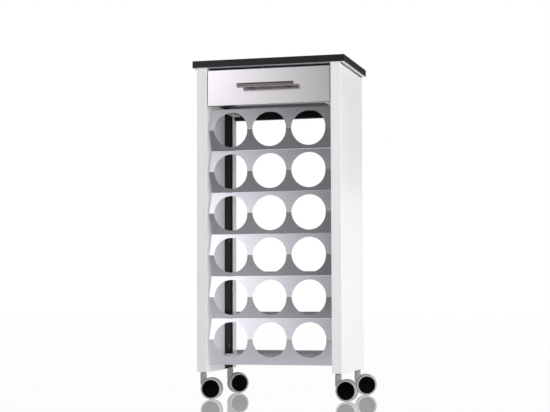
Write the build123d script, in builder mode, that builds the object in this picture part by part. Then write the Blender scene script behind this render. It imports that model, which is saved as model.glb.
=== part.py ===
from build123d import *
import os

# A rolling wine rack. Two side panels on casters carry a worktop, a drawer on roller runners and
# a rack of folded bottle rails. Millimetres, +Z up, +Y to the rear, X across the front.
# The origin is on the floor, below the middle of the worktop.

# Bottle rack
row_count = 6
column_count = 3
hole_diameter = 89.0
row_web = 18.2  # metal between a hole and the one below it
column_web = 13.4  # metal between two holes of a row
hole_side_margin = 16.2  # from an outer hole to the side panel
sheet_thickness = 1.5
bend_radius = 1.5  # inside the crease
fold_depth = 10.0  # how far a crease stands in front of the valleys
crease_setback = 9.9  # from the panels' front edges to the creases
top_flange = 54.2  # top rail, above its crease
bottom_flange = 63.6  # bottom rail, below its crease
rail_seam = 0.6  # between two rails
rack_bottom_margin = 18.8  # below the bottom rail
tab_height = 24.0
tab_depth = 18.0

# Side panels and worktop
panel_thickness = 26.0
panel_depth = 260.0
panel_edge_radius = 1.0
worktop_thickness = 18.0
worktop_edge_radius = 0.8
side_overhang = 10.9
front_overhang = 6.2
rear_overhang = 3.6

# Front rail, rear panel, uprights and neck supports
front_rail_thickness = 16.0
front_rail_height = 18.0
front_rail_gap = 1.0  # behind the closed drawer front
rear_panel_thickness = 16.0
rear_panel_height = 107.7
upright_depth = 62.0
upright_setback = 43.7  # from the panels' rear edges
upright_lip = 3.0
upright_foot_gap = 1.0
upright_head_gap = 1.0  # below the runners
neck_rest_height = 5.8  # rear edge of a neck support, above the lowest point of its holes
bottom_rest_height = 10.9  # the same for the bottom row
neck_slope_drop = 8.2  # from a support's rear edge to its front edge
bottom_lip = 12.1

# Drawer
drawer_front_height = 92.5
drawer_front_thickness = 16.0
drawer_front_edge_radius = 1.2
drawer_recess = 3.0  # behind the panels' front edges
drawer_side_gap = 2.3
drawer_top_gap = 6.9
drawer_rack_gap = 7.0
drawer_side_height = 66.0
drawer_side_thickness = 12.0
drawer_back_thickness = 12.0
drawer_board_thickness = 4.0
drawer_board_lift = 6.0  # above the sides' lower edges
drawer_rear_clearance = 6.0
groove_depth = 5.0
groove_fit = 0.3

# Handle
handle_diameter = 12.0
handle_length = 148.0
handle_end_radius = 1.0
handle_standoff = 29.0  # from the drawer front to the bar's axis
handle_post_diameter = 8.0
handle_post_spacing = 96.0
handle_fit = 0.05
handle_screw_diameter = 4.0
handle_screw_head_diameter = 8.0
handle_screw_head_height = 2.6
handle_screw_reach = 14.0  # into a post
handle_screw_fit = 0.2

# Roller runners
runner_space = 12.5  # between a side panel and the drawer box
runner_sheet = 1.2
runner_lift = 0.8  # above the drawer front's lower edge
runner_front_gap = 1.5
runner_clearance = 0.4
runner_flange_gap = 1.4  # between the channel and the drawer's flange above it
runner_panel_gap = 1.8
runner_foot = 7.5  # flange below the drawer side
roller_diameter = 17.6
roller_width = 6.0
roller_pin_diameter = 5.0
roller_bore_fit = 0.08
roller_gap = 0.3  # under a roller's track
roller_top_gap = 0.5
roller_side_gap = 0.6
roller_end_margin = 3.0
runner_screw_inset = 45.0

# Fasteners
screw_diameter = 3.5
screw_length = 14.0
screw_head_diameter = 7.0
screw_head_height = 1.2
screw_fit = 0.05
screw_hole_fit = 0.25
pilot_end_gap = 1.0
upright_screw_inset = 60.0
upright_screw_count = 3
dowel_diameter = 8.0
dowel_length = 30.0
dowel_fit = 0.05
blind_end_gap = 0.5  # beyond the end of a dowel or caster pin
worktop_dowel_depth = 11.0  # of a dowel, in the worktop
worktop_dowel_inset = 60.0
panel_dowel_depth = 13.0  # of a level dowel, in a side panel
rear_dowel_inset = 25.0

# Casters
wheel_diameter = 54.0
wheel_width = 9.5
wheel_gap = 0.6  # between a wheel and the hood's web
disc_diameter = 45.2
disc_dome = 0.9
disc_thickness = 2.5  # over the end of the axle
tyre_fit = 0.05
tyre_shoulder = 3.2
tyre_inner_edge = 1.2
caster_neck = 15.0  # from the wheels' top to the panel
trail = 22.0  # from the swivel axis to the axle
hood_web = 7.0
hood_rise = 1.8  # of the hood above the wheels
hood_gap = 0.9  # between the neck and the wheels
hood_skirt = 3.0  # how far the hood reaches below the axle
hood_hub_diameter = 20.0
neck_diameter = 16.2
neck_foot = 10.0  # lower end of the neck, above the axle
neck_edge_radius = 0.8
pin_diameter = 8.0
pin_panel_depth = 32.0
pin_neck_depth = 15.0
pin_collar_thickness = 2.0
pin_collar_diameter = 14.0
pin_fit = 0.05
swivel_gap = 0.3
axle_diameter = 5.0
axle_fit = 0.02
axle_running_fit = 0.05
axle_end_gap = 0.4
caster_front_inset = 15.4  # from the panels' front edges
caster_rear_inset = 15.9  # from their rear edges
caster_turns = {"front_left": 3.4, "front_right": -2.3, "rear_left": 36.6, "rear_right": 23.2}

# Heights above the floor
wheel_radius = wheel_diameter / 2
panel_bottom = wheel_diameter + caster_neck
row_pitch = hole_diameter + row_web
rack_bottom = panel_bottom + rack_bottom_margin
bottom_crease = rack_bottom + bottom_flange
creases = [bottom_crease + row_pitch * (row_count - 1 - row) for row in range(row_count)]
rack_top = creases[0] + top_flange
drawer_front_bottom = rack_top + drawer_rack_gap
drawer_front_top = drawer_front_bottom + drawer_front_height
panel_top = drawer_front_top + drawer_top_gap
rear_panel_bottom = panel_top - rear_panel_height
runner_bottom = drawer_front_bottom + runner_lift
drawer_side_bottom = runner_bottom + runner_sheet
drawer_board_level = drawer_side_bottom + drawer_board_lift
handle_level = drawer_front_bottom + drawer_front_height / 2

# Places across the front, from the middle
column_pitch = hole_diameter + column_web
panel_inner = (column_pitch * (column_count - 1) + hole_diameter) / 2 + hole_side_margin
panel_middle = panel_inner + panel_thickness / 2
panel_outer = panel_inner + panel_thickness
worktop_width = 2 * (panel_outer + side_overhang)
drawer_side_outer = panel_inner - runner_space
drawer_side_inner = drawer_side_outer - drawer_side_thickness
drawer_front_width = 2 * (panel_inner - drawer_side_gap)
board_half_width = drawer_side_inner + groove_depth - groove_fit

# Places along the depth, front to rear
worktop_depth = front_overhang + panel_depth + rear_overhang
panel_front = front_overhang - worktop_depth / 2
panel_rear = panel_front + panel_depth
crease_front = panel_front + crease_setback
fold_slope = fold_depth / (row_pitch / 2)
sheet_reach = sheet_thickness * (1 + fold_slope**2) ** 0.5  # the sheet's thickness, measured along Y
tab_rear = crease_front + fold_depth + sheet_reach + tab_depth
tab_screw_y = tab_rear - tab_depth / 2
rear_panel_front = panel_rear - rear_panel_thickness
upright_rear = panel_rear - upright_setback
upright_front = upright_rear - upright_depth
drawer_face = panel_front + drawer_recess
drawer_box_front = drawer_face + drawer_front_thickness
drawer_box_rear = rear_panel_front - drawer_rear_clearance
drawer_box_length = drawer_box_rear - drawer_box_front
drawer_box_middle = (drawer_box_front + drawer_box_rear) / 2
board_front = drawer_box_front - groove_depth + groove_fit
front_rail_front = drawer_box_front + front_rail_gap
handle_axis = drawer_face - handle_standoff

# Runner section: a channel on the panel, and above its open side the drawer's flange
roller_radius = roller_diameter / 2
runner_front = drawer_box_front + runner_front_gap
runner_rear = drawer_box_rear
channel_height = 2 * runner_sheet + roller_gap + roller_diameter + roller_top_gap
channel_tip = runner_space - runner_sheet - runner_clearance
drawer_flange_level = runner_bottom + channel_height + runner_flange_gap
roller_start = runner_sheet + screw_head_height + roller_side_gap
cabinet_roller_y = runner_front + roller_end_margin + roller_radius
cabinet_roller_z = drawer_flange_level - roller_gap - roller_radius
drawer_roller_y = runner_rear - roller_end_margin - roller_radius
drawer_roller_z = runner_bottom + runner_sheet + roller_gap + roller_radius
runner_screw_z = runner_bottom + channel_height / 2
runner_screw_ys = [runner_front + runner_screw_inset, runner_rear - runner_screw_inset]
drawer_screw_x = drawer_side_outer - runner_foot / 2

# Fastener places on a side panel's inner face, as (y, z), and on its top edge
tab_points = [
    (tab_screw_y, crease + half * row_pitch / 4) for crease in creases for half in (1, -1)
]
upright_bottom = panel_bottom + upright_foot_gap
upright_top = runner_bottom - upright_head_gap
upright_screw_y = (upright_front + upright_rear) / 2
upright_screw_span = upright_top - upright_bottom - 2 * upright_screw_inset
upright_screw_step = upright_screw_span / (upright_screw_count - 1)
upright_points = [
    (upright_screw_y, upright_bottom + upright_screw_inset + upright_screw_step * i)
    for i in range(upright_screw_count)
]
runner_points = [(y, runner_screw_z) for y in runner_screw_ys]
rear_dowel_y = (rear_panel_front + panel_rear) / 2
rear_dowel_points = [
    (rear_dowel_y, rear_panel_bottom + rear_dowel_inset),
    (rear_dowel_y, panel_top - rear_dowel_inset),
]
front_dowel_point = (
    front_rail_front + front_rail_thickness / 2,
    panel_top - front_rail_height / 2,
)
worktop_dowel_ys = [
    panel_front + worktop_dowel_inset,
    (panel_front + panel_rear) / 2,
    panel_rear - worktop_dowel_inset,
]
caster_front = panel_front + caster_front_inset
caster_rear = panel_rear - caster_rear_inset
caster_places = {
    "front_left": (-panel_middle, caster_front),
    "front_right": (panel_middle, caster_front),
    "rear_left": (-panel_middle, caster_rear),
    "rear_right": (panel_middle, caster_rear),
}

os.makedirs("parts", exist_ok=True)


def save(piece, name):
    piece.part.label = name
    export_step(piece.part, f"parts/{name}.step")


def save_both_sides(left, name):
    save(left, f"{name}_left")
    with BuildPart() as right:
        mirror(left.part, about=Plane.YZ)
    save(right, f"{name}_right")


# Worktop, with blind dowel holes in its underside
with BuildPart() as worktop:
    with BuildSketch(Plane.XY.offset(panel_top)):
        Rectangle(worktop_width, worktop_depth)
    extrude(amount=worktop_thickness)
    fillet(worktop.edges(), worktop_edge_radius)
    with BuildSketch(Plane.XY.offset(panel_top)):
        with Locations(*[(x, y) for x in (-panel_middle, panel_middle) for y in worktop_dowel_ys]):
            Circle(dowel_diameter / 2 + dowel_fit)
    extrude(amount=worktop_dowel_depth + blind_end_gap, mode=Mode.SUBTRACT)
save(worktop, "worktop")

# Side panel: a board with rounded upright edges, drilled for dowels, screws and caster pins
with BuildPart() as side_panel:
    with BuildSketch(Plane.XY.offset(panel_bottom)):
        with Locations((-panel_middle, (panel_front + panel_rear) / 2)):
            Rectangle(panel_thickness, panel_depth)
    extrude(amount=panel_top - panel_bottom)
    fillet(side_panel.edges().filter_by(Axis.Z), panel_edge_radius)
    with BuildSketch(Plane.XY.offset(panel_top)):
        with Locations(*[(-panel_middle, y) for y in worktop_dowel_ys]):
            Circle(dowel_diameter / 2 + dowel_fit)
    extrude(amount=worktop_dowel_depth - dowel_length - blind_end_gap, mode=Mode.SUBTRACT)
    with BuildSketch(Plane.XY.offset(panel_bottom)):
        with Locations((-panel_middle, caster_front), (-panel_middle, caster_rear)):
            Circle(pin_diameter / 2 + pin_fit)
    extrude(amount=pin_panel_depth + blind_end_gap, mode=Mode.SUBTRACT)
    with BuildSketch(Plane.YZ.offset(-panel_inner)):
        with Locations(front_dowel_point, *rear_dowel_points):
            Circle(dowel_diameter / 2 + dowel_fit)
    extrude(amount=-panel_dowel_depth - blind_end_gap, mode=Mode.SUBTRACT)
    with BuildSketch(Plane.YZ.offset(-panel_inner)):
        with Locations(*tab_points, *upright_points, *runner_points):
            Circle(screw_diameter / 2 + screw_fit)
    extrude(amount=-screw_length - pilot_end_gap, mode=Mode.SUBTRACT)
save_both_sides(side_panel, "side_panel")


def sheet_front(crease, level):
    return crease_front + abs(level - crease) * fold_slope


# Bottle rails: one fold each, three holes on the crease, and tabs bent back along the panels
for row, crease in enumerate(creases):
    half_rail = (row_pitch - rail_seam) / 2
    top = crease + (top_flange if row == 0 else half_rail)
    bottom = crease - (bottom_flange if row == row_count - 1 else half_rail)
    front_line = [(sheet_front(crease, z), z) for z in (top, crease, bottom)]
    rear_line = [(y + sheet_reach, z) for y, z in reversed(front_line)]
    with BuildPart() as bottle_rail:
        with BuildSketch(Plane.YZ) as section:
            Polygon(*front_line, *rear_line, align=None)
            outside = section.vertices().sort_by_distance((crease_front, crease))[0]
            fillet(outside, bend_radius + sheet_thickness)
            inside = section.vertices().sort_by_distance((crease_front + sheet_reach, crease))[0]
            fillet(inside, bend_radius)
        extrude(amount=panel_inner, both=True)
        for half in (1, -1):
            tab_low = crease + half * row_pitch / 4 - tab_height / 2
            tab_high = tab_low + tab_height
            tab_outline = [
                (sheet_front(crease, tab_low) + sheet_reach / 2, tab_low),
                (sheet_front(crease, tab_high) + sheet_reach / 2, tab_high),
                (tab_rear, tab_high),
                (tab_rear, tab_low),
            ]
            for face_x, inward in ((-panel_inner, sheet_thickness), (panel_inner, -sheet_thickness)):
                with BuildSketch(Plane.YZ.offset(face_x)):
                    Polygon(*tab_outline, align=None)
                    with Locations((tab_screw_y, crease + half * row_pitch / 4)):
                        Circle(screw_diameter / 2 + screw_hole_fit, mode=Mode.SUBTRACT)
                extrude(amount=inward)
        with BuildSketch(Plane.XZ.offset(-crease_front)):
            with Locations((0, crease)):
                with GridLocations(column_pitch, row_pitch, column_count, 1):
                    Circle(hole_diameter / 2)
        extrude(amount=fold_depth + tab_depth, both=True, mode=Mode.SUBTRACT)
    save(bottle_rail, f"bottle_rail_{row + 1}")



def cross_board(name, front, bottom, thickness, dowel_points):
    # A board below the worktop, from panel to panel, drilled in both ends for dowels
    with BuildPart() as board:
        with BuildSketch(Plane.XZ.offset(-front)):
            with Locations((0, bottom)):
                Rectangle(2 * panel_inner, panel_top - bottom, align=(Align.CENTER, Align.MIN))
        extrude(amount=-thickness)
        for face_x, inward in ((-panel_inner, 1), (panel_inner, -1)):
            with BuildSketch(Plane.YZ.offset(face_x)):
                with Locations(*dowel_points):
                    Circle(dowel_diameter / 2 + dowel_fit)
            extrude(
                amount=inward * (dowel_length - panel_dowel_depth + blind_end_gap),
                mode=Mode.SUBTRACT,
            )
    save(board, name)


front_rail_bottom = panel_top - front_rail_height
cross_board(
    "front_rail", front_rail_front, front_rail_bottom, front_rail_thickness, [front_dowel_point]
)
cross_board(
    "rear_panel", rear_panel_front, rear_panel_bottom, rear_panel_thickness, rear_dowel_points
)

# Uprights: angles with a wide leg on the panel and a narrow lip at the rear
with BuildPart() as upright:
    with BuildSketch(Plane.XY.offset(upright_bottom)):
        Polygon(
            (-panel_inner, upright_front),
            (-panel_inner + sheet_thickness, upright_front),
            (-panel_inner + sheet_thickness, upright_rear - sheet_thickness),
            (-panel_inner + upright_lip, upright_rear - sheet_thickness),
            (-panel_inner + upright_lip, upright_rear),
            (-panel_inner, upright_rear),
            align=None,
        )
    extrude(amount=upright_top - upright_bottom)
    with BuildSketch(Plane.YZ.offset(-panel_inner)):
        with Locations(*upright_points):
            Circle(screw_diameter / 2 + screw_hole_fit)
    extrude(amount=sheet_thickness, mode=Mode.SUBTRACT)
save_both_sides(upright, "rear_upright")

# Neck supports: strips between the uprights that rise to the rear, the lowest with a front lip
support_rear = upright_rear - sheet_thickness
for row, crease in enumerate(creases):
    is_bottom = row == row_count - 1
    rest_height = bottom_rest_height if is_bottom else neck_rest_height
    rear_edge = crease - hole_diameter / 2 + rest_height
    front_edge = rear_edge - neck_slope_drop
    with BuildPart() as neck_support:
        with BuildSketch(Plane.YZ):
            Polygon(
                (upright_front, front_edge),
                (support_rear, rear_edge),
                (support_rear, rear_edge - sheet_thickness),
                (upright_front, front_edge - sheet_thickness),
                align=None,
            )
            if is_bottom:
                with Locations((upright_front, front_edge)):
                    Rectangle(sheet_thickness, bottom_lip, align=(Align.MIN, Align.MAX))
        extrude(amount=panel_inner - sheet_thickness, both=True)
    save(neck_support, f"neck_support_{row + 1}")

# Cabinet runners: channels on the panels with a pin for the front roller
with BuildPart() as cabinet_runner:
    with BuildSketch(Plane.XZ.offset(-runner_rear)):
        with Locations((-panel_inner, runner_bottom)):
            Rectangle(channel_tip, channel_height, align=Align.MIN)
        with Locations((-panel_inner + runner_sheet, runner_bottom + runner_sheet)):
            Rectangle(
                channel_tip, channel_height - 2 * runner_sheet, align=Align.MIN, mode=Mode.SUBTRACT
            )
    extrude(amount=runner_rear - runner_front)
    with BuildSketch(Plane.XY.offset(runner_bottom + channel_height)):
        with Locations((-panel_inner + runner_sheet, runner_front)):
            Rectangle(
                channel_tip,
                2 * roller_end_margin + roller_diameter,
                align=Align.MIN,
            )
    extrude(amount=-runner_sheet, mode=Mode.SUBTRACT)
    with BuildSketch(Plane.YZ.offset(-panel_inner)):
        with Locations((cabinet_roller_y, cabinet_roller_z)):
            Circle(roller_pin_diameter / 2)
    extrude(amount=roller_start + roller_width)
    with BuildSketch(Plane.YZ.offset(-panel_inner)):
        with Locations(*runner_points):
            Circle(screw_diameter / 2 + screw_hole_fit)
    extrude(amount=runner_sheet, mode=Mode.SUBTRACT)
save_both_sides(cabinet_runner, "cabinet_runner")

# Drawer runners: a flange that rides on the front roller, a web beside the drawer and a foot below it
with BuildPart() as drawer_runner:
    with BuildSketch(Plane.XZ.offset(-runner_rear)):
        with Locations((-drawer_side_outer, drawer_flange_level)):
            Rectangle(
                runner_space - runner_panel_gap, runner_sheet, align=(Align.MAX, Align.MIN)
            )
        with Locations((-drawer_side_outer, runner_bottom)):
            Rectangle(
                runner_sheet, drawer_flange_level - runner_bottom, align=(Align.MAX, Align.MIN)
            )
            Rectangle(runner_foot, runner_sheet, align=Align.MIN)
    extrude(amount=runner_rear - runner_front)
    with BuildSketch(Plane.YZ.offset(-drawer_side_outer - runner_sheet)):
        with Locations((drawer_roller_y, drawer_roller_z)):
            Circle(roller_pin_diameter / 2)
    extrude(amount=roller_start + runner_sheet - runner_space)
    with BuildSketch(Plane.XY.offset(runner_bottom)):
        with Locations(*[(-drawer_screw_x, y) for y in runner_screw_ys]):
            Circle(screw_diameter / 2 + screw_hole_fit)
    extrude(amount=runner_sheet, mode=Mode.SUBTRACT)
save_both_sides(drawer_runner, "drawer_runner")


def roller_pair(name, y, z):
    with BuildPart() as rollers:
        for face_x, inward in ((-panel_inner, 1), (panel_inner, -1)):
            with BuildSketch(Plane.YZ.offset(face_x + inward * roller_start)):
                with Locations((y, z)):
                    Circle(roller_radius)
                    Circle(roller_pin_diameter / 2 + roller_bore_fit, mode=Mode.SUBTRACT)
            extrude(amount=inward * roller_width)
    save(rollers, name)


roller_pair("cabinet_rollers", cabinet_roller_y, cabinet_roller_z)
roller_pair("drawer_rollers", drawer_roller_y, drawer_roller_z)

# Drawer front, with a groove for the bottom board and holes for the handle screws
handle_points = [(-handle_post_spacing / 2, handle_level), (handle_post_spacing / 2, handle_level)]
with BuildPart() as drawer_front:
    with BuildSketch(Plane.XZ.offset(-drawer_box_front)):
        with Locations((0, handle_level)):
            Rectangle(drawer_front_width, drawer_front_height)
    extrude(amount=drawer_front_thickness)
    fillet(drawer_front.edges(), drawer_front_edge_radius)
    with BuildSketch(Plane.XZ.offset(-drawer_box_front)):
        with Locations((0, drawer_board_level)):
            Rectangle(
                2 * (board_half_width + groove_fit),
                drawer_board_thickness + groove_fit,
                align=(Align.CENTER, Align.MIN),
            )
    extrude(amount=groove_depth, mode=Mode.SUBTRACT)
    with BuildSketch(Plane.XZ.offset(-drawer_box_front)):
        with Locations(*handle_points):
            Circle(handle_screw_diameter / 2 + handle_screw_fit)
    extrude(amount=drawer_front_thickness, mode=Mode.SUBTRACT)
save(drawer_front, "drawer_front")

# Drawer side, grooved for the bottom board and drilled from below for the runner screws
with BuildPart() as drawer_side:
    with BuildSketch(Plane.XY.offset(drawer_side_bottom)):
        with Locations((-drawer_side_outer, drawer_box_middle)):
            Rectangle(drawer_side_thickness, drawer_box_length, align=(Align.MIN, Align.CENTER))
    extrude(amount=drawer_side_height)
    with BuildSketch(Plane.XY.offset(drawer_board_level)):
        with Locations((-drawer_side_inner, drawer_box_middle)):
            Rectangle(groove_depth, drawer_box_length, align=(Align.MAX, Align.CENTER))
    extrude(amount=drawer_board_thickness + groove_fit, mode=Mode.SUBTRACT)
    with BuildSketch(Plane.XY.offset(drawer_side_bottom)):
        with Locations(*[(-drawer_screw_x, y) for y in runner_screw_ys]):
            Circle(screw_diameter / 2 + screw_fit)
    extrude(amount=screw_length + pilot_end_gap - runner_sheet, mode=Mode.SUBTRACT)
save_both_sides(drawer_side, "drawer_side")

# Drawer bottom board, held in the grooves
with BuildPart() as drawer_board:
    with BuildSketch(Plane.XY.offset(drawer_board_level)):
        with Locations((0, board_front)):
            Rectangle(
                2 * board_half_width,
                drawer_box_rear - board_front,
                align=(Align.CENTER, Align.MIN),
            )
    extrude(amount=drawer_board_thickness)
save(drawer_board, "drawer_bottom")

# Drawer back, standing on the bottom board between the sides
drawer_back_level = drawer_board_level + drawer_board_thickness
with BuildPart() as drawer_back:
    with BuildSketch(Plane.XY.offset(drawer_back_level)):
        with Locations((0, drawer_box_rear)):
            Rectangle(
                2 * drawer_side_inner, drawer_back_thickness, align=(Align.CENTER, Align.MAX)
            )
    extrude(amount=drawer_side_bottom + drawer_side_height - drawer_back_level)
save(drawer_back, "drawer_back")

# Handle: a round bar on two posts, screwed from inside the drawer
with BuildPart() as handle_bar:
    with BuildSketch(Plane.YZ):
        with Locations((handle_axis, handle_level)):
            Circle(handle_diameter / 2)
    extrude(amount=handle_length / 2, both=True)
    fillet(handle_bar.edges().filter_by(GeomType.CIRCLE), handle_end_radius)
save(handle_bar, "handle_bar")

with BuildPart() as handle_posts:
    with BuildSketch(Plane.XZ.offset(-drawer_face)):
        with Locations(*handle_points):
            Circle(handle_post_diameter / 2)
    extrude(amount=handle_standoff)
    with BuildSketch(Plane.YZ):
        with Locations((handle_axis, handle_level)):
            Circle(handle_diameter / 2 + handle_fit)
    extrude(amount=handle_length / 2, both=True, mode=Mode.SUBTRACT)
    with BuildSketch(Plane.XZ.offset(-drawer_face)):
        with Locations(*handle_points):
            Circle(handle_screw_diameter / 2 + screw_fit)
    extrude(amount=handle_screw_reach + pilot_end_gap, mode=Mode.SUBTRACT)
save(handle_posts, "handle_posts")

# Dowels between worktop, cross boards and side panels
with BuildPart() as dowels:
    with BuildSketch(Plane.XY.offset(panel_top + worktop_dowel_depth)):
        with Locations(*[(x, y) for x in (-panel_middle, panel_middle) for y in worktop_dowel_ys]):
            Circle(dowel_diameter / 2)
    extrude(amount=-dowel_length)
    for face_x, inward in ((-panel_inner, 1), (panel_inner, -1)):
        with BuildSketch(Plane.YZ.offset(face_x - inward * panel_dowel_depth)):
            with Locations(front_dowel_point, *rear_dowel_points):
                Circle(dowel_diameter / 2)
        extrude(amount=inward * dowel_length)
save(dowels, "cabinet_dowels")


def screws(name, *kinds):
    # Each seat is a plane under a screw's head, its normal along the shank
    with BuildPart() as group:
        for seats, diameter, length, head_diameter, head_height in kinds:
            for seat in seats:
                with BuildSketch(seat):
                    Circle(diameter / 2)
                extrude(amount=length)
                with BuildSketch(seat):
                    Circle(head_diameter / 2)
                extrude(amount=-head_height)
    save(group, name)


wood_screw = (screw_diameter, screw_length, screw_head_diameter, screw_head_height)
handle_screw = (
    handle_screw_diameter,
    drawer_front_thickness + handle_screw_reach,
    handle_screw_head_diameter,
    handle_screw_head_height,
)
panel_seats = [
    Plane(origin=(side * (panel_inner - seat), y, z), x_dir=(0, 1, 0), z_dir=(side, 0, 0))
    for side in (-1, 1)
    for points, seat in (
        (tab_points, sheet_thickness),
        (upright_points, sheet_thickness),
        (runner_points, runner_sheet),
    )
    for y, z in points
]
screws("panel_screws", (panel_seats, *wood_screw))
drawer_seats = [
    Plane(origin=(side * drawer_screw_x, y, runner_bottom)) for side in (-1, 1) for y in runner_screw_ys
]
handle_seats = [
    Plane(origin=(x, drawer_box_front, z), x_dir=(1, 0, 0), z_dir=(0, -1, 0)) for x, z in handle_points
]
screws("drawer_screws", (drawer_seats, *wood_screw), (handle_seats, *handle_screw))

# Caster pins: held in the panels, with a collar below them and a journal in each hood's neck
neck_top = panel_bottom - pin_collar_thickness - swivel_gap
with BuildPart() as caster_pins:
    with BuildSketch(Plane.XY.offset(neck_top - pin_neck_depth)):
        with Locations(*caster_places.values()):
            Circle(pin_diameter / 2)
    extrude(amount=panel_bottom + pin_panel_depth - neck_top + pin_neck_depth)
    with BuildSketch(Plane.XY.offset(panel_bottom)):
        with Locations(*caster_places.values()):
            Circle(pin_collar_diameter / 2)
    extrude(amount=-pin_collar_thickness)
save(caster_pins, "caster_pins")


def caster_hood(name, swivel, axle):
    hood_radius = wheel_radius + hood_rise
    with BuildPart() as hood:
        with BuildSketch(axle):
            Circle(hood_radius)
            with Locations((0, -hood_skirt)):
                Rectangle(
                    2 * hood_radius,
                    hood_radius,
                    align=(Align.CENTER, Align.MAX),
                    mode=Mode.SUBTRACT,
                )
            Circle(hood_hub_diameter / 2)
        extrude(amount=hood_web / 2, both=True)
        with BuildSketch(swivel.offset(neck_top)):
            Circle(neck_diameter / 2)
        extrude(amount=wheel_radius + neck_foot - neck_top)
        fillet(hood.edges().group_by(Axis.Z)[-1], neck_edge_radius)
        for side in (1, -1):
            with BuildSketch(axle.offset(side * hood_web / 2)):
                Circle(wheel_radius + hood_gap)
            extrude(amount=side * neck_diameter, mode=Mode.SUBTRACT)
        with BuildSketch(swivel.offset(neck_top)):
            Circle(pin_diameter / 2 + pin_fit)
        extrude(amount=-pin_neck_depth - swivel_gap, mode=Mode.SUBTRACT)
        with BuildSketch(axle):
            Circle(axle_diameter / 2 + axle_fit)
        extrude(amount=hood_web / 2, both=True, mode=Mode.SUBTRACT)
    save(hood, f"caster_hood_{name}")


def caster_axle(name, axle):
    bore_depth = wheel_width - disc_thickness
    with BuildPart() as pin:
        with BuildSketch(axle):
            Circle(axle_diameter / 2)
        extrude(amount=hood_web / 2 + wheel_gap + bore_depth - axle_end_gap, both=True)
    save(pin, f"caster_axle_{name}")


def half_section(wheel):
    # The plane through a wheel's axis: x is its radius, y runs outward along the axle
    return Plane(origin=wheel.origin, x_dir=wheel.x_dir, z_dir=-wheel.y_dir)


def caster_wheel(name, wheel):
    disc_radius = disc_diameter / 2
    bore_radius = axle_diameter / 2 + axle_running_fit
    bore_depth = wheel_width - disc_thickness
    disc_rim = wheel_width - disc_dome
    turning_axis = Axis(wheel.origin, wheel.z_dir)
    with BuildPart() as disc:
        with BuildSketch(half_section(wheel)):
            with BuildLine():
                Polyline((bore_radius, 0), (disc_radius, 0), (disc_radius, disc_rim))
                TangentArc((0, wheel_width), (disc_radius, disc_rim), tangent=(1, 0))
                Polyline((0, wheel_width), (0, bore_depth), (bore_radius, bore_depth), (bore_radius, 0))
            make_face()
        revolve(axis=turning_axis)
    save(disc, f"wheel_disc_{name}")
    with BuildPart() as tyre:
        with BuildSketch(half_section(wheel)) as section:
            with Locations((disc_radius + tyre_fit, 0)):
                Rectangle(wheel_radius - disc_radius - tyre_fit, wheel_width, align=Align.MIN)
            tread = section.vertices().group_by(Axis.X)[-1].sort_by(Axis.Y)
            fillet(tread[-1], tyre_shoulder)
            tread_inner = section.vertices().group_by(Axis.Y)[0].sort_by(Axis.X)
            fillet(tread_inner[-1], tyre_inner_edge)
        revolve(axis=turning_axis)
    save(tyre, f"wheel_tyre_{name}")


# Casters: a swivelling hood, its axle, and a wheel on each side of the hood's web
for caster_name, (stem_x, stem_y) in caster_places.items():
    swivel = Plane(Location((stem_x, stem_y, 0), (0, 0, caster_turns[caster_name])))
    axle_centre = swivel.origin + swivel.x_dir * trail + swivel.z_dir * wheel_radius
    axle = Plane(origin=axle_centre, x_dir=swivel.x_dir, z_dir=-swivel.y_dir)
    caster_hood(caster_name, swivel, axle)
    caster_axle(caster_name, axle)
    for wheel_name, outward in (("a", axle.z_dir), ("b", -axle.z_dir)):
        wheel_origin = axle.origin + outward * (hood_web / 2 + wheel_gap)
        wheel = Plane(origin=wheel_origin, x_dir=axle.x_dir, z_dir=outward)
        caster_wheel(f"{caster_name}_{wheel_name}", wheel)
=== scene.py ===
import math

import bpy
from mathutils import Matrix, Vector


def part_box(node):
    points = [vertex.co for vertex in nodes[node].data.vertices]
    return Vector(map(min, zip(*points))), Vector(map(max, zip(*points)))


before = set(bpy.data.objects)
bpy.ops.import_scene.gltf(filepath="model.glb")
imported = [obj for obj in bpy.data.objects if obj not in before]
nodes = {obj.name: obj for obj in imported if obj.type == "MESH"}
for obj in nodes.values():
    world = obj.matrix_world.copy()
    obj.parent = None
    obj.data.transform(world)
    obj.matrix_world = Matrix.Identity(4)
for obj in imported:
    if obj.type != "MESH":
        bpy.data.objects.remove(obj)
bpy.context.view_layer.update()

mm = 0.001
scene = bpy.context.scene
scene.view_settings.view_transform = "Standard"
print("frame loaded:", len(nodes), "nodes")


# sRGB hex to the linear values the shaders want
def linear(hexColour):
    channels = [int(hexColour[i:i + 2], 16) / 255 for i in (1, 3, 5)]
    return [c / 12.92 if c <= 0.04045 else ((c + 0.055) / 1.055) ** 2.4 for c in channels] + [1.0]


# one node with its attributes, socket values and incoming links
def addNode(tree, kind, attributes=None, values=None, links=None):
    node = tree.nodes.new(kind)
    for key, value in (attributes or {}).items():
        setattr(node, key, value)
    for key, value in (values or {}).items():
        node.inputs[key].default_value = value
    for key, source in (links or {}).items():
        tree.links.new(source, node.inputs[key])
    return node


# a material without nodes
def emptyMaterial(name):
    material = bpy.data.materials.new(name)
    material.use_nodes = True
    material.node_tree.nodes.clear()
    return material, material.node_tree


# a material with its shader, and the object's own coordinates in metres
def startMaterial(name, **settings):
    material, tree = emptyMaterial(name)
    shader = addNode(tree, "ShaderNodeBsdfPrincipled", values=settings)
    addNode(tree, "ShaderNodeOutputMaterial", links={"Surface": shader.outputs[0]})
    spot = addNode(tree, "ShaderNodeTexCoord").outputs["Object"]
    return material, tree, shader, spot


# 0 on flat faces, 1 on arrises, by how far the rounded normal turns from the flat one
arrisTurn = (0.99, 0.86)


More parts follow.
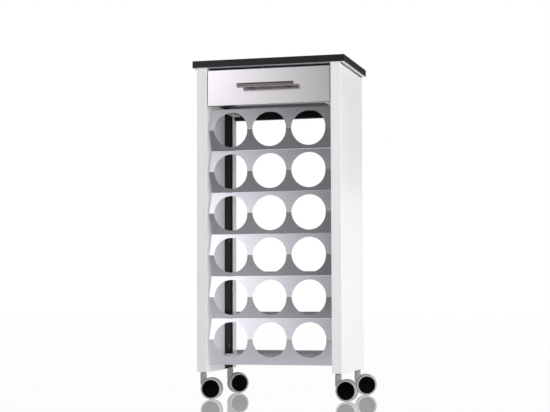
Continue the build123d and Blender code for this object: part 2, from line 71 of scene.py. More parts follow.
def edgeMask(tree, radius):
    rounded = addNode(tree, "ShaderNodeBevel", {"samples": 6}, {"Radius": radius})
    flat = addNode(tree, "ShaderNodeNewGeometry")
    turn = addNode(
        tree, "ShaderNodeVectorMath", {"operation": "DOT_PRODUCT"},
        links={0: rounded.outputs[0], 1: flat.outputs["Normal"]},
    )
    mask = addNode(
        tree, "ShaderNodeMapRange", values={"From Min": arrisTurn[0], "From Max": arrisTurn[1]},
        links={"Value": turn.outputs["Value"]},
    )
    return mask.outputs[0]


# 1 for what the camera sees, directly or in something shiny or clear
def seenMask(tree):
    path = addNode(tree, "ShaderNodeLightPath")
    either = addNode(
        tree, "ShaderNodeMath", {"operation": "MAXIMUM"},
        links={0: path.outputs["Is Camera Ray"], 1: path.outputs["Is Glossy Ray"]},
    )
    mask = addNode(
        tree, "ShaderNodeMath", {"operation": "MAXIMUM"},
        links={0: either.outputs[0], 1: path.outputs["Is Transmission Ray"]},
    )
    return mask.outputs[0]


def dress(material, *names):
    for name in names:
        slots = nodes[name].data.materials
        slots.clear()
        slots.append(material)


# camera fitted to the photograph: a long lens, low, to the right, looking slightly up
shot = {
    "place": (0.953857, -3.528442, 0.263749), "turn": 15.388, "tilt": 3.644, "roll": -0.156,
    "lens": 91.64, "sensor": 36.0, "farthest": 50.0,
}

cameraData = bpy.data.cameras.new("photoCamera")
cameraData.sensor_width = shot["sensor"]
cameraData.lens = shot["lens"]
cameraData.clip_end = shot["farthest"]
cameraObject = bpy.data.objects.new("photoCamera", cameraData)
scene.collection.objects.link(cameraObject)
cameraObject.matrix_world = (
    Matrix.Translation(shot["place"])
    @ Matrix.Rotation(math.radians(shot["turn"]), 4, "Z")
    @ Matrix.Rotation(math.radians(90 + shot["tilt"]), 4, "X")
    @ Matrix.Rotation(math.radians(shot["roll"]), 4, "Z")
)
scene.camera = cameraObject
print("camera placed")

# white studio: a polished white floor that mirrors the casters, white all round, a graded soft
# box in front on the left and grey cloths above, behind and in front that only shiny surfaces see
studio = {
    "floorSize": 24.0,
    "floorDrop": 0.2 * mm,  # keeps the floor clear of the wheels
    "floorColour": "#f2f2f2",
    "floorShadow": 0.1,  # share of the floor that takes the object's shadow
    "floorIor": 1.49,  # acrylic: a mirror at the low angle of the photograph, faint from above
    "floorBounce": 0.32,  # even light from it on matt surfaces, on top of what the lamps give
    "poolTone": 0.33,  # tone of the cloth in front, one metre from the rack
    "poolCap": 0.62,  # and at most, near it
    "poolSide": (-0.32, 0.02),  # away from the rack it darkens from left to right, in metres along X
    "poolShade": (1.3, 0.1),
    "poolFar": (0.3, 0.8),  # where that darkening begins and is full, in metres from the rack
    "ambient": (0.50, 0.02),  # from the front and from behind
    "clothTone": 0.14,
    "boxTone": (2.06, 0.03),  # the soft box at its left, and the dark room at its right
    "boxSide": (-3.2, -0.42),  # where that change begins and ends, in metres along X
    "boxLean": (0.4, 1.6),  # how far the box leans to the left per metre, and the height it leans from
    "boxFoot": (0.35, 2.65),  # where the box brightens above its lower edge, in metres along Z
    "boxFootTone": (0.1, 2.01),
    "boxHead": (2.7, 3.75),  # and dims towards its upper edge
    "boxHeadTone": (1.0, 0.05),
    "flagSide": (-1.9, -1.0),  # a black flag shades its upper right corner, in metres along X
    "flagFoot": (1.7, 2.2),  # and along Z
    "flagTone": (1.22, 0.0),
    "boxRoom": (0.4, 2.0),  # where the room on the right grows light again, in metres along X
    "roomTone": 0.8,
}

floorMesh = bpy.data.meshes.new("studioFloor")
half = studio["floorSize"] / 2
floorCorners = [(-half, -half, 0), (half, -half, 0), (half, half, 0), (-half, half, 0)]
floorMesh.from_pydata(floorCorners, [], [(0, 1, 2, 3)])
floor = bpy.data.objects.new("studioFloor", floorMesh)
floor.location.z = -studio["floorDrop"]
scene.collection.objects.link(floor)

floorMaterial, tree = emptyMaterial("whiteAcrylicSheetPolished")
matt = addNode(tree, "ShaderNodeBsdfDiffuse", values={"Color": linear(studio["floorColour"])})
glow = addNode(tree, "ShaderNodeEmission", values={"Color": linear("#ffffff"), "Strength": 1.0})
seen = addNode(
    tree, "ShaderNodeMixShader", values={0: studio["floorShadow"]},
    links={1: glow.outputs[0], 2: matt.outputs[0]},
)
mirror = addNode(tree, "ShaderNodeBsdfGlossy", values={"Color": linear("#ffffff"), "Roughness": 0.0})
gleam = addNode(tree, "ShaderNodeFresnel", values={"IOR": studio["floorIor"]})
polished = addNode(
    tree, "ShaderNodeMixShader", links={0: gleam.outputs[0], 1: seen.outputs[0], 2: mirror.outputs[0]}
)
lit = addNode(
    tree, "ShaderNodeEmission", values={"Color": linear("#ffffff"), "Strength": studio["floorBounce"]}
)
bouncing = addNode(tree, "ShaderNodeAddShader", links={0: matt.outputs[0], 1: lit.outputs[0]})
shown = addNode(
    tree, "ShaderNodeMixShader", links={0: seenMask(tree), 1: bouncing.outputs[0], 2: polished.outputs[0]}
)
addNode(tree, "ShaderNodeOutputMaterial", links={"Surface": shown.outputs[0]})
floorMaterial.cycles.emission_sampling = "NONE"  # not sampled as a lamp: each kind of ray keeps its own floor
floorMesh.materials.append(floorMaterial)

world = bpy.data.worlds.new("whiteStudio")
scene.world = world
world.use_nodes = True
tree = world.node_tree
tree.nodes.clear()
direction = addNode(tree, "ShaderNodeTexCoord")
bearing = addNode(tree, "ShaderNodeSeparateXYZ", links={0: direction.outputs["Generated"]})
frontToRear = addNode(
    tree, "ShaderNodeMapRange",
    values={
        "From Min": -1.0, "From Max": 1.0,
        "To Min": studio["ambient"][0], "To Max": studio["ambient"][1],
    },
    links={"Value": bearing.outputs["Y"]},
)
soft = addNode(
    tree, "ShaderNodeBackground", values={"Color": linear("#ffffff")},
    links={"Strength": frontToRear.outputs[0]},
)
white = addNode(tree, "ShaderNodeBackground", values={"Color": linear("#ffffff"), "Strength": 1.0})
backdrop = addNode(
    tree, "ShaderNodeMixShader", links={0: seenMask(tree), 1: soft.outputs[0], 2: white.outputs[0]}
)
addNode(tree, "ShaderNodeOutputWorld", links={"Surface": backdrop.outputs[0]})


# a card's tone, but clear to the floor's sharp mirror, so that the floor mirrors the rack alone
def cardSurface(tree, tone):
    path = addNode(tree, "ShaderNodeLightPath")
    clear = addNode(tree, "ShaderNodeBsdfTransparent", values={"Color": linear("#ffffff")})
    surface = addNode(
        tree, "ShaderNodeMixShader",
        links={0: path.outputs["Is Singular Ray"], 1: tone.outputs[0], 2: clear.outputs[0]},
    )
    addNode(tree, "ShaderNodeOutputMaterial", links={"Surface": surface.outputs[0]})


clothMaterial, tree = emptyMaterial("greyStudioCloth")
dim = addNode(
    tree, "ShaderNodeEmission", values={"Color": linear("#ffffff"), "Strength": studio["clothTone"]}
)
cardSurface(tree, dim)

# the cloth on the floor in front is lighter near the rack and darker away from it and to the right
floorClothMaterial, tree = emptyMaterial("greyFloorCloth")
place = addNode(tree, "ShaderNodeTexCoord")
reach = addNode(tree, "ShaderNodeVectorMath", {"operation": "LENGTH"}, links={0: place.outputs["Object"]})
pool = addNode(
    tree, "ShaderNodeMath", {"operation": "DIVIDE"}, {0: studio["poolTone"]}, {1: reach.outputs["Value"]}
)
poolTop = addNode(
    tree, "ShaderNodeMath", {"operation": "MINIMUM"}, {1: studio["poolCap"]}, {0: pool.outputs[0]}
)
clothParts = addNode(tree, "ShaderNodeSeparateXYZ", links={0: place.outputs["Object"]})
poolSide = addNode(
    tree, "ShaderNodeMapRange",
    values={
        "From Min": studio["poolSide"][0], "From Max": studio["poolSide"][1],
        "To Min": studio["poolShade"][0], "To Max": studio["poolShade"][1],
    },
    links={"Value": clothParts.outputs["X"]},
)
poolFar = addNode(
    tree, "ShaderNodeMapRange",
    values={"From Min": studio["poolFar"][0], "From Max": studio["poolFar"][1]},
    links={"Value": reach.outputs["Value"]},
)
poolFade = addNode(
    tree, "ShaderNodeMix", {"data_type": "FLOAT"}, {2: 1.0}, {0: poolFar.outputs[0], 3: poolSide.outputs[0]}
)
poolGraded = addNode(
    tree, "ShaderNodeMath", {"operation": "MULTIPLY"}, links={0: poolTop.outputs[0], 1: poolFade.outputs[0]}
)
pooled = addNode(
    tree, "ShaderNodeEmission", values={"Color": linear("#ffffff")},
    links={"Strength": poolGraded.outputs[0]},
)
cardSurface(tree, pooled)
floorClothMaterial.cycles.emission_sampling = "NONE"

boxMaterial, tree = emptyMaterial("gradedSoftBox")
place = addNode(tree, "ShaderNodeTexCoord")
parts = addNode(tree, "ShaderNodeSeparateXYZ", links={0: place.outputs["Object"]})
height = addNode(
    tree, "ShaderNodeMath", {"operation": "SUBTRACT"}, {1: studio["boxLean"][1]}, {0: parts.outputs["Z"]}
)
leaning = addNode(
    tree, "ShaderNodeMath", {"operation": "MULTIPLY_ADD"}, {1: studio["boxLean"][0]},
    {0: height.outputs[0], 2: parts.outputs["X"]},
)
across = addNode(
    tree, "ShaderNodeMapRange",
    values={
        "From Min": studio["boxSide"][0], "From Max": studio["boxSide"][1],
        "To Min": studio["boxTone"][0], "To Max": studio["boxTone"][1],
    },
    links={"Value": leaning.outputs[0]},
)
upward = addNode(
    tree, "ShaderNodeMapRange",
    values={
        "From Min": studio["boxHead"][0], "From Max": studio["boxHead"][1],
        "To Min": studio["boxHeadTone"][0], "To Max": studio["boxHeadTone"][1],
    },
    links={"Value": parts.outputs["Z"]},
)
downward = addNode(
    tree, "ShaderNodeMapRange",
    values={
        "From Min": studio["boxFoot"][0], "From Max": studio["boxFoot"][1],
        "To Min": studio["boxFootTone"][0], "To Max": studio["boxFootTone"][1],
    },
    links={"Value": parts.outputs["Z"]},
)
window = addNode(
    tree, "ShaderNodeMath", {"operation": "MULTIPLY"}, links={0: downward.outputs[0], 1: upward.outputs[0]}
)
flagSide = addNode(
    tree, "ShaderNodeMapRange",
    values={
        "From Min": studio["flagSide"][0], "From Max": studio["flagSide"][1],
        "To Min": studio["flagTone"][0], "To Max": studio["flagTone"][1],
    },
    links={"Value": parts.outputs["X"]},
)
flagFoot = addNode(
    tree, "ShaderNodeMapRange",
    values={"From Min": studio["flagFoot"][0], "From Max": studio["flagFoot"][1]},
    links={"Value": parts.outputs["Z"]},
)
flag = addNode(
    tree, "ShaderNodeMix", {"data_type": "FLOAT"}, {2: 1.0},
    {0: flagFoot.outputs[0], 3: flagSide.outputs[0]},
)
flagged = addNode(
    tree, "ShaderNodeMath", {"operation": "MULTIPLY"}, links={0: window.outputs[0], 1: flag.outputs[0]}
)
farRight = addNode(
    tree, "ShaderNodeMapRange",
    values={
        "From Min": studio["boxRoom"][0], "From Max": studio["boxRoom"][1],
        "To Min": 0.0, "To Max": studio["roomTone"],
    },
    links={"Value": parts.outputs["X"]},
)
level = addNode(
    tree, "ShaderNodeMath", {"operation": "MULTIPLY_ADD"},
    links={0: across.outputs[0], 1: flagged.outputs[0], 2: farRight.outputs[0]},
)
graded = addNode(
    tree, "ShaderNodeEmission", values={"Color": linear("#ffffff")}, links={"Strength": level.outputs[0]}
)
cardSurface(tree, graded)

# cloths and the soft box as four corners each
cards = {
    "clothFloor": (floorClothMaterial, [(-3, -5.0, 0), (3, -5.0, 0), (3, -0.2, 0), (-3, -0.2, 0)]),
    "clothOverhead": (clothMaterial, [(-6, -5.2, 3.9), (6, -5.2, 3.9), (6, 1.5, 3.9), (-6, 1.5, 3.9)]),
    "clothBehind": (clothMaterial, [(-5, 3.0, 0.75), (5, 3.0, 0.75), (5, 3.0, 3.9), (-5, 3.0, 3.9)]),
    "softBoxFront": (boxMaterial, [(-7, -5.2, 0), (5, -5.2, 0), (5, -5.2, 3.9), (-7, -5.2, 3.9)]),
}
for name, (material, corners) in cards.items():
    mesh = bpy.data.meshes.new(name)
    mesh.from_pydata(corners, [], [(0, 1, 2, 3)])
    mesh.materials.append(material)
    card = bpy.data.objects.new(name, mesh)
    scene.collection.objects.link(card)
    card.visible_camera = False
    card.visible_diffuse = False
    card.visible_shadow = False
    card.visible_transmission = False

# lamps: place, aim, width, height, watts
lamps = {
    "keyRight": ((2.5, -0.74, 0.75), (0.0, 0.0, 0.45), 0.8, 1.6, 22.0),
    "fillFront": ((1.6, -2.4, 1.0), (0.1, 0.0, 0.45), 1.0, 1.4, 20.0),
    "rimRear": ((2.6, 0.75, 0.60), (0.0, 0.1, 0.45), 0.6, 1.6, 7.0),
}
for name, (spotAt, aim, width, height, watts) in lamps.items():
    light = bpy.data.lights.new(name, "AREA")
    light.shape = "RECTANGLE"
    light.size = width
    light.size_y = height
    light.energy = watts
    lamp = bpy.data.objects.new(name, light)
    lamp.location = spotAt
    lamp.rotation_euler = (Vector(aim) - Vector(spotAt)).to_track_quat("-Z", "Y").to_euler()
    lamp.visible_glossy = False
    scene.collection.objects.link(lamp)
print("studio lit:", ", ".join(lamps))

casters = ("front_left", "front_right", "rear_left", "rear_right")
rows = range(1, 7)

# Board sprayed with white lacquer: even white, faint orange peel, arrises a little rubbed, and a painted shade
# band along the top of the outer faces under the worktop
panelFinish = {
    "white": "#f6f3f4", "cloudy": "#f1eeef", "rubbed": "#e2dfe0",
    "cloud": 160 * mm, "peel": 1.8 * mm, "arris": 1.5 * mm,
    "joint": "#1c1b1d", "gapShadeHeight": 4.2 * mm,  # painted shade of a shadow gap under the worktop, along the outer faces
    "gapShadeDepth": 0.2 * mm,
}
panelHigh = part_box("side_panel_right")[1]
lacquer, tree, shader, spot = startMaterial("whiteLacquerSprayed", Roughness=0.34, IOR=1.5)
cloud = addNode(
    tree, "ShaderNodeTexNoise", values={"Scale": 1 / panelFinish["cloud"], "Detail": 3.0},
    links={"Vector": spot},
)
tone = addNode(
    tree, "ShaderNodeMix", {"data_type": "RGBA"},
    {6: linear(panelFinish["white"]), 7: linear(panelFinish["cloudy"])}, {0: cloud.outputs["Fac"]},
)
rubbed = addNode(
    tree, "ShaderNodeMix", {"data_type": "RGBA"}, {7: linear(panelFinish["rubbed"])},
    {0: edgeMask(tree, panelFinish["arris"]), 6: tone.outputs[2]},
)
# painted shade: a dark band along the top of the outer faces, just under the worktop
place = addNode(tree, "ShaderNodeSeparateXYZ", links={0: spot})
aside = addNode(tree, "ShaderNodeMath", {"operation": "ABSOLUTE"}, links={0: place.outputs["X"]})
outer = addNode(
    tree, "ShaderNodeMath", {"operation": "GREATER_THAN"}, {1: panelHigh[0] - panelFinish["gapShadeDepth"]},
    {0: aside.outputs[0]},
)
high = addNode(
    tree, "ShaderNodeMath", {"operation": "GREATER_THAN"}, {1: panelHigh[2] - panelFinish["gapShadeHeight"]},
    {0: place.outputs["Z"]},
)
inGapShade = addNode(
    tree, "ShaderNodeMath", {"operation": "MULTIPLY"}, links={0: outer.outputs[0], 1: high.outputs[0]}
)
gapShaded = addNode(
    tree, "ShaderNodeMix", {"data_type": "RGBA"}, {7: linear(panelFinish["joint"])},
    {0: inGapShade.outputs[0], 6: rubbed.outputs[2]},
)
peel = addNode(
    tree, "ShaderNodeTexNoise", values={"Scale": 1 / panelFinish["peel"], "Detail": 2.0},
    links={"Vector": spot},
)
skin = addNode(
    tree, "ShaderNodeBump", values={"Strength": 0.12, "Distance": 0.05 * mm},
    links={"Height": peel.outputs["Fac"]},
)
tree.links.new(gapShaded.outputs[2], shader.inputs["Base Color"])
tree.links.new(skin.outputs[0], shader.inputs["Normal"])
dress(lacquer, "side_panel_left", "side_panel_right")

# High pressure laminate pressed with a fine pearl: near black, soft sheen, paler cut edges
worktopFinish = {
    "black": "#121114", "pearl": "#1b1a1e", "edge": "#38373b", "grain": 1.3 * mm, "arris": 0.9 * mm,
    "backing": "#dddbe1", "backingFaces": -0.98,  # pale backing paper on faces that point down
    "specular": 0.35, "sheen": (0.34, 0.46),
}
laminate, tree, shader, spot = startMaterial("anthraciteLaminatePressed", IOR=1.5)
shader.inputs["Specular IOR Level"].default_value = worktopFinish["specular"]
grain = addNode(
    tree, "ShaderNodeTexNoise", values={"Scale": 1 / worktopFinish["grain"], "Detail": 4.0},
    links={"Vector": spot},
)
tone = addNode(
    tree, "ShaderNodeMix", {"data_type": "RGBA"},
    {6: linear(worktopFinish["black"]), 7: linear(worktopFinish["pearl"])}, {0: grain.outputs["Fac"]},
)
worn = addNode(
    tree, "ShaderNodeMix", {"data_type": "RGBA"}, {7: linear(worktopFinish["edge"])},
    {0: edgeMask(tree, worktopFinish["arris"]), 6: tone.outputs[2]},
)
normal = addNode(tree, "ShaderNodeTexCoord").outputs["Normal"]
facing = addNode(tree, "ShaderNodeSeparateXYZ", links={0: normal})
below = addNode(
    tree, "ShaderNodeMath", {"operation": "LESS_THAN"}, {1: worktopFinish["backingFaces"]},
    {0: facing.outputs["Z"]},
)
backed = addNode(
    tree, "ShaderNodeMix", {"data_type": "RGBA"}, {7: linear(worktopFinish["backing"])},
    {0: below.outputs[0], 6: worn.outputs[2]},
)
sheen = addNode(
    tree, "ShaderNodeMapRange",
    values={"To Min": worktopFinish["sheen"][0], "To Max": worktopFinish["sheen"][1]},
    links={"Value": grain.outputs["Fac"]},
)
pearl = addNode(
    tree, "ShaderNodeBump", values={"Strength": 0.25, "Distance": 0.06 * mm},
    links={"Height": grain.outputs["Fac"]},
)
tree.links.new(backed.outputs[2], shader.inputs["Base Color"])
tree.links.new(sheen.outputs[0], shader.inputs["Roughness"])
tree.links.new(pearl.outputs[0], shader.inputs["Normal"])
dress(laminate, "worktop")

# Chipboard with printed melamine paper: flat near black with short pores, the cross boards a shade paler
melamineSpecular = 0.08  # dull, so that undersides stay dark over a white floor
melamineFinish = {
    "blackMelaminePaper": {
        "ground": "#0a0a0b", "pore": "#131314", "poreLength": 30 * mm, "poreWidth": 0.9 * mm,
        "nodes": ("drawer_side_left", "drawer_side_right", "drawer_back", "drawer_bottom"),
    },
    "charcoalMelaminePaper": {
        "ground": "#252427", "pore": "#2e2d30", "poreLength": 30 * mm, "poreWidth": 0.9 * mm,
        "nodes": ("front_rail", "rear_panel"),
    },
}
for name, finish in melamineFinish.items():
    melamine, tree, shader, spot = startMaterial(name, Roughness=0.5, IOR=1.5)
    shader.inputs["Specular IOR Level"].default_value = melamineSpecular
    along = addNode(
        tree, "ShaderNodeMapping",
        values={"Scale": (1 / finish["poreLength"], 1 / finish["poreWidth"], 1 / finish["poreWidth"])},
        links={"Vector": spot},
    )
    pores = addNode(
        tree, "ShaderNodeTexNoise", values={"Scale": 1.0, "Detail": 3.0}, links={"Vector": along.outputs[0]}
    )
    tone = addNode(
        tree, "ShaderNodeMix", {"data_type": "RGBA"},
        {6: linear(finish["ground"]), 7: linear(finish["pore"])}, {0: pores.outputs["Fac"]},
    )
    relief = addNode(
        tree, "ShaderNodeBump", values={"Strength": 0.2, "Distance": 0.05 * mm},
        links={"Height": pores.outputs["Fac"]},
    )
    tree.links.new(tone.outputs[2], shader.inputs["Base Color"])
    tree.links.new(relief.outputs[0], shader.inputs["Normal"])
    dress(melamine, *finish["nodes"])

# Steel with black powder coat: deep black, fine stipple
uprightFinish = {"black": "#070708", "speck": "#0e0e0f", "stipple": 0.9 * mm, "specular": 0.05}
powder, tree, shader, spot = startMaterial("blackPowderCoat", Roughness=0.55, IOR=1.5)
shader.inputs["Specular IOR Level"].default_value = uprightFinish["specular"]
stipple = addNode(
    tree, "ShaderNodeTexNoise", values={"Scale": 1 / uprightFinish["stipple"], "Detail": 2.0},
    links={"Vector": spot},
)
tone = addNode(
    tree, "ShaderNodeMix", {"data_type": "RGBA"},
    {6: linear(uprightFinish["black"]), 7: linear(uprightFinish["speck"])}, {0: stipple.outputs["Fac"]},
)
pimples = addNode(
    tree, "ShaderNodeBump", values={"Strength": 0.3, "Distance": 0.06 * mm},
    links={"Height": stipple.outputs["Fac"]},
)
tree.links.new(tone.outputs[2], shader.inputs["Base Color"])
tree.links.new(pimples.outputs[0], shader.inputs["Normal"])
dress(powder, "rear_upright_left", "rear_upright_right")

# Sheet steel with baked silver lacquer: cool grey metal, fine flake, wide soft reflections
railFinish = {
    "silver": "#e9e6ef", "flakeDark": "#dfdce6", "cut": "#f2f0f6",
    "flake": 1.0 * mm, "arris": 0.8 * mm, "ripple": 70 * mm, "satin": (0.2, 0.26),
}
silver, tree, shader, spot = startMaterial("silverLacquerBaked", Metallic=1.0)
flake = addNode(
    tree, "ShaderNodeTexNoise", values={"Scale": 1 / railFinish["flake"], "Detail": 2.0},
    links={"Vector": spot},
)
tone = addNode(
    tree, "ShaderNodeMix", {"data_type": "RGBA"},
    {6: linear(railFinish["silver"]), 7: linear(railFinish["flakeDark"])}, {0: flake.outputs["Fac"]},
)
bright = addNode(
    tree, "ShaderNodeMix", {"data_type": "RGBA"}, {7: linear(railFinish["cut"])},
    {0: edgeMask(tree, railFinish["arris"]), 6: tone.outputs[2]},
)
ripple = addNode(
    tree, "ShaderNodeTexNoise", values={"Scale": 1 / railFinish["ripple"], "Detail": 1.0},
    links={"Vector": spot},
)
satin = addNode(
    tree, "ShaderNodeMapRange", values={"To Min": railFinish["satin"][0], "To Max": railFinish["satin"][1]},
    links={"Value": ripple.outputs["Fac"]},
)
grit = addNode(
    tree, "ShaderNodeBump", values={"Strength": 0.08, "Distance": 0.02 * mm},
    links={"Height": flake.outputs["Fac"]},
)
tree.links.new(bright.outputs[2], shader.inputs["Base Color"])
tree.links.new(satin.outputs[0], shader.inputs["Roughness"])
tree.links.new(grit.outputs[0], shader.inputs["Normal"])
dress(silver, *[f"bottle_rail_{row}" for row in rows], *[f"neck_support_{row}" for row in rows])

# Stainless sheet brushed along its length: pale steel, hair lines, a soft mirror of the handle;
# faces that point down are near black, dull and not metallic
frontFinish = {
    "steel": "#f0edf1", "line": "#e4e0e5", "hairLength": 60 * mm, "hairWidth": 0.7 * mm,  # drawn coarse to show
    "gloss": (0.14, 0.22),
    "downwardTone": "#1a191b", "downwardSpecular": 0.08, "downwardFaces": -0.7,  # near black, dull and not metallic on faces that point down
}
stainless, tree, shader, spot = startMaterial("stainlessBrushed")
shader.inputs["Specular IOR Level"].default_value = frontFinish["downwardSpecular"]
along = addNode(
    tree, "ShaderNodeMapping",
    values={
        "Scale": (1 / frontFinish["hairLength"], 1 / frontFinish["hairWidth"], 1 / frontFinish["hairWidth"]),
    },
    links={"Vector": spot},
)
hair = addNode(
    tree, "ShaderNodeTexNoise", values={"Scale": 1.0, "Detail": 3.0}, links={"Vector": along.outputs[0]}
)
tone = addNode(
    tree, "ShaderNodeMix", {"data_type": "RGBA"},
    {6: linear(frontFinish["steel"]), 7: linear(frontFinish["line"])}, {0: hair.outputs["Fac"]},
)
gloss = addNode(
    tree, "ShaderNodeMapRange", values={"To Min": frontFinish["gloss"][0], "To Max": frontFinish["gloss"][1]},
    links={"Value": hair.outputs["Fac"]},
)
scratch = addNode(
    tree, "ShaderNodeBump", values={"Strength": 0.06, "Distance": 0.01 * mm},
    links={"Height": hair.outputs["Fac"]},
)
normal = addNode(tree, "ShaderNodeTexCoord").outputs["Normal"]
facing = addNode(tree, "ShaderNodeSeparateXYZ", links={0: normal})
# faces that point down get a near black, dull, non-metallic colour
sheetFaces = addNode(
    tree, "ShaderNodeMath", {"operation": "GREATER_THAN"}, {1: frontFinish["downwardFaces"]},
    {0: facing.outputs["Z"]},
)
darkDownward = addNode(
    tree, "ShaderNodeMix", {"data_type": "RGBA"},
    {6: linear(frontFinish["downwardTone"])}, {0: sheetFaces.outputs[0], 7: tone.outputs[2]},
)
tree.links.new(darkDownward.outputs[2], shader.inputs["Base Color"])
tree.links.new(sheetFaces.outputs[0], shader.inputs["Metallic"])
tree.links.new(gloss.outputs[0], shader.inputs["Roughness"])
tree.links.new(scratch.outputs[0], shader.inputs["Normal"])
dress(stainless, "drawer_front")

# Bar with dark chrome plating: smoky mirror with finger marks
handleFinish = {"chrome": "#bab0b4", "smoke": "#aca2a6", "mark": 9 * mm, "gloss": (0.1, 0.16)}
chrome, tree, shader, spot = startMaterial("darkChromePlated", Metallic=1.0)
marks = addNode(
    tree, "ShaderNodeTexNoise", values={"Scale": 1 / handleFinish["mark"], "Detail": 4.0},
    links={"Vector": spot},
)
tone = addNode(
    tree, "ShaderNodeMix", {"data_type": "RGBA"},
    {6: linear(handleFinish["chrome"]), 7: linear(handleFinish["smoke"])}, {0: marks.outputs["Fac"]},
)
gloss = addNode(
    tree, "ShaderNodeMapRange", values={"To Min": handleFinish["gloss"][0], "To Max": handleFinish["gloss"][1]},
    links={"Value": marks.outputs["Fac"]},
)
tree.links.new(tone.outputs[2], shader.inputs["Base Color"])
tree.links.new(gloss.outputs[0], shader.inputs["Roughness"])
dress(chrome, "handle_bar", "handle_posts")

# Steel runner with white epoxy coat: slightly warm white, fine pebble
runnerFinish = {"white": "#ebeae6", "thin": "#dedcd6", "pebble": 1.1 * mm, "arris": 0.8 * mm}
epoxy, tree, shader, spot = startMaterial("whiteEpoxyCoat", Roughness=0.42, IOR=1.55)
pebble = addNode(
    tree, "ShaderNodeTexNoise", values={"Scale": 1 / runnerFinish["pebble"], "Detail": 2.0},
    links={"Vector": spot},
)
tone = addNode(
    tree, "ShaderNodeMix", {"data_type": "RGBA"},
    {6: linear(runnerFinish["white"]), 7: linear(runnerFinish["thin"])},
    {0: edgeMask(tree, runnerFinish["arris"])},
)
coat = addNode(
    tree, "ShaderNodeBump", values={"Strength": 0.2, "Distance": 0.05 * mm},
    links={"Height": pebble.outputs["Fac"]},
)
tree.links.new(tone.outputs[2], shader.inputs["Base Color"])
tree.links.new(coat.outputs[0], shader.inputs["Normal"])
dress(epoxy, "cabinet_runner_left", "cabinet_runner_right", "drawer_runner_left", "drawer_runner_right")

# Nylon rollers, moulded: milky white, waxy
rollerFinish = {"milk": "#d9d6cc", "wax": "#cac6ba", "flow": 4 * mm}
nylon, tree, shader, spot = startMaterial("naturalNylonMoulded", Roughness=0.4, IOR=1.53)
flow = addNode(
    tree, "ShaderNodeTexNoise", values={"Scale": 1 / rollerFinish["flow"], "Detail": 3.0},
    links={"Vector": spot},
)
tone = addNode(
    tree, "ShaderNodeMix", {"data_type": "RGBA"},
    {6: linear(rollerFinish["milk"]), 7: linear(rollerFinish["wax"])}, {0: flow.outputs["Fac"]},
)
tree.links.new(tone.outputs[2], shader.inputs["Base Color"])
dress(nylon, "cabinet_rollers", "drawer_rollers")

# Zinc plated screws: blued grey in the drawer, passivated black in the cabinet
screwFinish = {
    "steelZincPlated": {"zinc": "#b9b6aa", "cast": "#a9b0b6", "bloom": 2.5 * mm, "nodes": ("drawer_screws",)},
    "steelZincBlack": {"zinc": "#242427", "cast": "#303036", "bloom": 2.5 * mm, "nodes": ("panel_screws",)},
}
for name, finish in screwFinish.items():
    zinc, tree, shader, spot = startMaterial(name, Metallic=1.0, Roughness=0.3)
    bloom = addNode(
        tree, "ShaderNodeTexNoise", values={"Scale": 1 / finish["bloom"], "Detail": 2.0},
        links={"Vector": spot},
    )
    tone = addNode(
        tree, "ShaderNodeMix", {"data_type": "RGBA"},
        {6: linear(finish["zinc"]), 7: linear(finish["cast"])}, {0: bloom.outputs["Fac"]},
    )
    tree.links.new(tone.outputs[2], shader.inputs["Base Color"])
    dress(zinc, *finish["nodes"])

# Drawn steel pins: bright grey with lines along the bar
pinFinish = {"steel": "#a7a7a8", "line": "#8f8f92", "draw": 0.5 * mm}
drawn, tree, shader, spot = startMaterial("steelDrawn", Metallic=1.0, Roughness=0.26)
lines = addNode(
    tree, "ShaderNodeTexNoise", values={"Scale": 1 / pinFinish["draw"], "Detail": 2.0}, links={"Vector": spot}
)
tone = addNode(
    tree, "ShaderNodeMix", {"data_type": "RGBA"},
    {6: linear(pinFinish["steel"]), 7: linear(pinFinish["line"])}, {0: lines.outputs["Fac"]},
)
tree.links.new(tone.outputs[2], shader.inputs["Base Color"])
dress(drawn, "caster_pins", *[f"caster_axle_{c}" for c in casters])

# Beech dowels, turned: pink brown with short flecks
dowelFinish = {"beech": "#c79f72", "fleck": "#a97d52", "fleckLength": 3 * mm}
beech, tree, shader, spot = startMaterial("beechTurned", Roughness=0.6, IOR=1.5)
flecks = addNode(
    tree, "ShaderNodeTexNoise", values={"Scale": 1 / dowelFinish["fleckLength"], "Detail": 4.0},
    links={"Vector": spot},
)
tone = addNode(
    tree, "ShaderNodeMix", {"data_type": "RGBA"},
    {6: linear(dowelFinish["beech"]), 7: linear(dowelFinish["fleck"])}, {0: flecks.outputs["Fac"]},
)
tree.links.new(tone.outputs[2], shader.inputs["Base Color"])
dress(beech, "cabinet_dowels")

# Caster hoods of silver grey nylon, moulded: metallic pigment, eroded mould texture
hoodFinish = {"grey": "#a6a5a8", "dark": "#949396", "erosion": 0.8 * mm}
greyNylon, tree, shader, spot = startMaterial("silverGreyNylonMoulded", Roughness=0.42, IOR=1.53)
erosion = addNode(
    tree, "ShaderNodeTexNoise", values={"Scale": 1 / hoodFinish["erosion"], "Detail": 3.0},
    links={"Vector": spot},
)
tone = addNode(
    tree, "ShaderNodeMix", {"data_type": "RGBA"},
    {6: linear(hoodFinish["grey"]), 7: linear(hoodFinish["dark"])}, {0: erosion.outputs["Fac"]},
)
eroded = addNode(
    tree, "ShaderNodeBump", values={"Strength": 0.2, "Distance": 0.04 * mm},
    links={"Height": erosion.outputs["Fac"]},
)
tree.links.new(tone.outputs[2], shader.inputs["Base Color"])
tree.links.new(eroded.outputs[0], shader.inputs["Normal"])
dress(greyNylon, *[f"caster_hood_{c}" for c in casters])

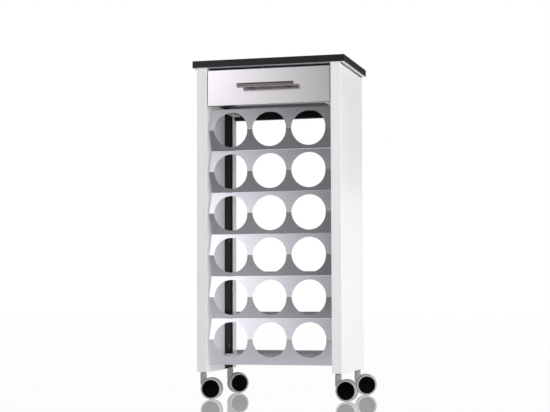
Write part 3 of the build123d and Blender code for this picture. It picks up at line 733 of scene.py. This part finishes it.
# Tyres of soft grey plastic, moulded: duller than the hoods, scuffed on the tread
tyreFinish = {
    "grey": "#b0afb2", "scuff": "#99989b", "scuffSize": 5 * mm, "scuffShare": (0.5, 0.75), "grain": 0.7 * mm,
}
softPlastic, tree, shader, spot = startMaterial("greyPolyurethaneMoulded", Roughness=0.5, IOR=1.5)
scuffs = addNode(
    tree, "ShaderNodeTexNoise", values={"Scale": 1 / tyreFinish["scuffSize"], "Detail": 5.0},
    links={"Vector": spot},
)
worn = addNode(
    tree, "ShaderNodeMapRange",
    values={"From Min": tyreFinish["scuffShare"][0], "From Max": tyreFinish["scuffShare"][1]},
    links={"Value": scuffs.outputs["Fac"]},
)
tone = addNode(
    tree, "ShaderNodeMix", {"data_type": "RGBA"},
    {6: linear(tyreFinish["grey"]), 7: linear(tyreFinish["scuff"])}, {0: worn.outputs[0]},
)
grain = addNode(
    tree, "ShaderNodeTexNoise", values={"Scale": 1 / tyreFinish["grain"], "Detail": 2.0},
    links={"Vector": spot},
)
rough = addNode(
    tree, "ShaderNodeBump", values={"Strength": 0.2, "Distance": 0.05 * mm},
    links={"Height": grain.outputs["Fac"]},
)
tree.links.new(tone.outputs[2], shader.inputs["Base Color"])
tree.links.new(rough.outputs[0], shader.inputs["Normal"])
dress(softPlastic, *[f"wheel_tyre_{c}_{s}" for c in casters for s in "ab"])

# Wheel discs of black ABS, moulded in a polished tool: deep gloss with hair scratches
discFinish = {
    "black": "#020202", "haze": "#060607", "scratch": 1.5 * mm, "specular": 0.03, "gloss": (0.12, 0.24),
}
blackAbs, tree, shader, spot = startMaterial("blackAbsPolished", IOR=1.54)
shader.inputs["Specular IOR Level"].default_value = discFinish["specular"]
scratches = addNode(
    tree, "ShaderNodeTexNoise", values={"Scale": 1 / discFinish["scratch"], "Detail": 5.0},
    links={"Vector": spot},
)
tone = addNode(
    tree, "ShaderNodeMix", {"data_type": "RGBA"},
    {6: linear(discFinish["black"]), 7: linear(discFinish["haze"])}, {0: scratches.outputs["Fac"]},
)
gloss = addNode(
    tree, "ShaderNodeMapRange", values={"To Min": discFinish["gloss"][0], "To Max": discFinish["gloss"][1]},
    links={"Value": scratches.outputs["Fac"]},
)
tree.links.new(tone.outputs[2], shader.inputs["Base Color"])
tree.links.new(gloss.outputs[0], shader.inputs["Roughness"])
dress(blackAbs, *[f"wheel_disc_{c}_{s}" for c in casters for s in "ab"])
print("finishes:", len(bpy.data.materials))
